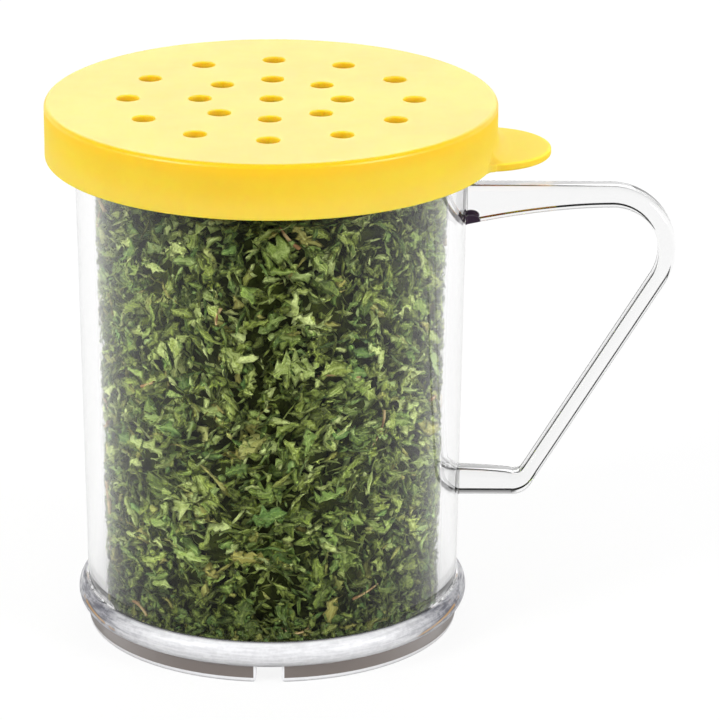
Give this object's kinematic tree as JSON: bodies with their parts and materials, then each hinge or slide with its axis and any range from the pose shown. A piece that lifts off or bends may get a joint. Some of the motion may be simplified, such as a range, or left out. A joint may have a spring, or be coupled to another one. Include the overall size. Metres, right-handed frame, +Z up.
{
  "type": "shaker dredger",
  "caption": "Clear handled shaker jar with a perforated yellow lift-off lid, a lifting tab and a notched foot ring, filled with dried green herb.",
  "frame": {"origin": "on the jar's axis, at table level under the foot ring", "axes": "+Z up along the jar's axis, +X towards the handle and the lid's tab"},
  "size_m": [0.1161, 0.083, 0.101],
  "materials": {
    "clear_plastic": "clear, polished, lightly scuffed at the base",
    "yellow_plastic": "moulded, soft satin sheen, slightly translucent",
    "dried_herb": "matte, crumpled leaf flakes"
  },
  "bodies": {
    "jar": {"jar": "clear_plastic", "handle": "clear_plastic", "herb_fill": "dried_herb"},
    "lid": {"lid": "yellow_plastic"}
  },
  "joints": [
    {"name": "lid_lift", "type": "slide", "parent": "jar", "child": "lid", "axis": [0, 0, 1], "range_m": [0, 0.06]}
  ]
}
